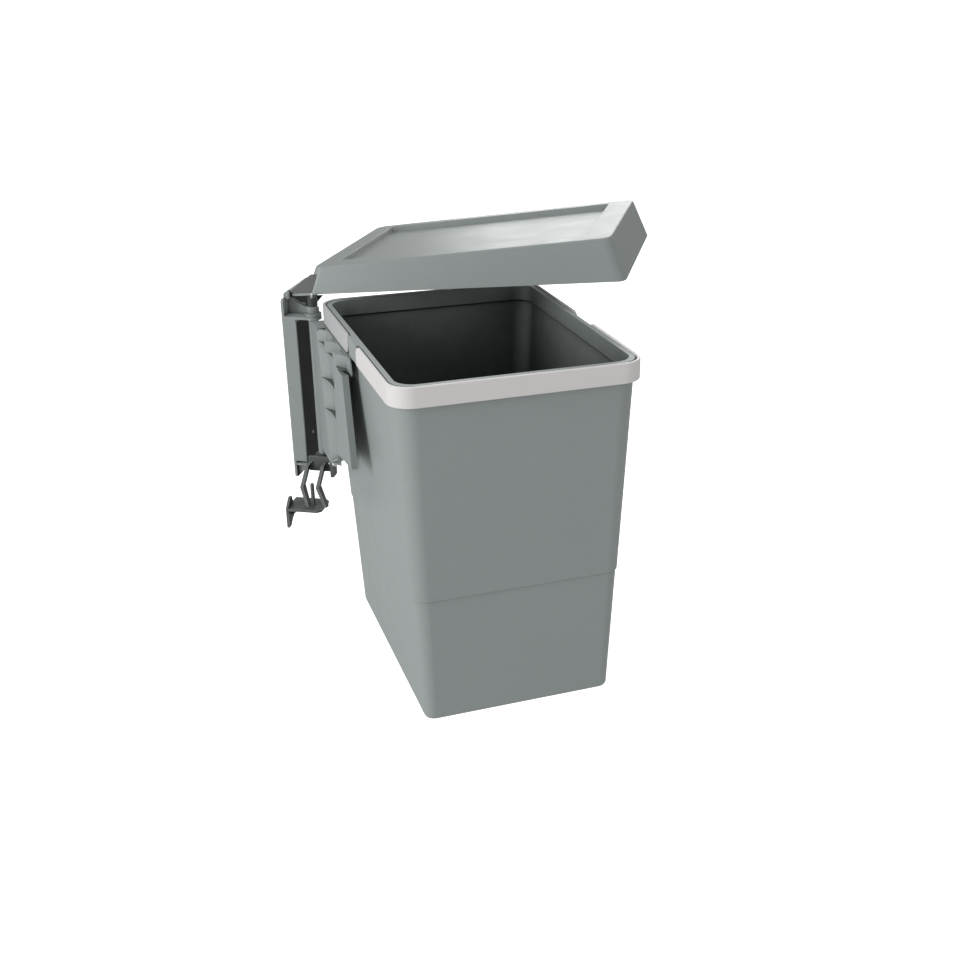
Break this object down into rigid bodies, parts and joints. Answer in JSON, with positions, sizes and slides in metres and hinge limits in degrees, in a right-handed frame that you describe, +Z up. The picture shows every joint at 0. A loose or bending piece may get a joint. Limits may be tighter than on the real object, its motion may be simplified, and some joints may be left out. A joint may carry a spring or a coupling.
{
  "type": "swing-out cabinet waste bin",
  "caption": "Swing-out waste bin on a cabinet wall bracket, with two carrying handles, a lid raised by a cam as it swings out, and a bracket that ties it to the door.",
  "frame": {"origin": "centre of the wall plate's back face, on the cabinet's side wall", "axes": "+X out of the side wall into the cabinet, +Y back into the cabinet, +Z up"},
  "size_m": [0.3702, 0.4676, 0.3979],
  "materials": {
    "grey_plastic": "fine matt moulded",
    "pale_plastic": "smooth satin moulded",
    "dark_plastic": "satin",
    "steel": "turned"
  },
  "bodies": {
    "wall_side": {"wall_bracket": "grey_plastic", "hinge_pin": "steel", "hinge_collar": "dark_plastic", "lid_hinge_pin": "steel"},
    "carrier": {"swing_carrier": "grey_plastic", "cam_ring": "grey_plastic", "carrier_index_pin": "steel", "fork_lever": "grey_plastic", "lever_clamp_screw": "steel"},
    "lid_body": {"lid": "grey_plastic", "lid_lifter": "grey_plastic"},
    "bin": {"bucket": "grey_plastic", "front_handle": "pale_plastic", "rear_handle": "pale_plastic", "handle_stud_front_left": "pale_plastic", "handle_stud_front_right": "pale_plastic", "handle_stud_rear_left": "pale_plastic", "handle_stud_rear_right": "pale_plastic"},
    "door_pin": {"guide_pin": "grey_plastic"},
    "door_side": {"door_bracket": "grey_plastic"}
  },
  "joints": [
    {"name": "carrier_swing", "type": "hinge", "parent": "wall_side", "child": "carrier", "pos_m": [0.0305, -0.0275, 0], "axis": [0, 0, 1], "range_deg": [0, 60]},
    {"name": "lid_tilt", "type": "hinge", "parent": "wall_side", "child": "lid_body", "pos_m": [0.0033, 0, 0.09775], "axis": [0, 1, 0], "range_deg": [0, 4.86]},
    {"name": "bucket_slide_off", "type": "slide", "parent": "carrier", "child": "bin", "axis": [0.5, -0.866, 0], "range_m": [0, 0.08]},
    {"name": "guide_pin_slide", "type": "slide", "parent": "carrier", "child": "door_pin", "axis": [0, 1, 0], "range_m": [0, 0.0121]},
    {"name": "door_turn", "type": "hinge", "parent": "door_pin", "child": "door_side", "pos_m": [0.0253, -0.0545, -0.116], "axis": [0, 0, 1], "range_deg": [0, 30.1]}
  ],
  "couplings": [
    {"joint": "lid_tilt", "follows": "carrier_swing", "ratio": 0.080833},
    {"joint": "guide_pin_slide", "follows": "carrier_swing", "m_per_rad": 0.011459},
    {"joint": "door_turn", "follows": "carrier_swing", "ratio": 0.5}
  ]
}
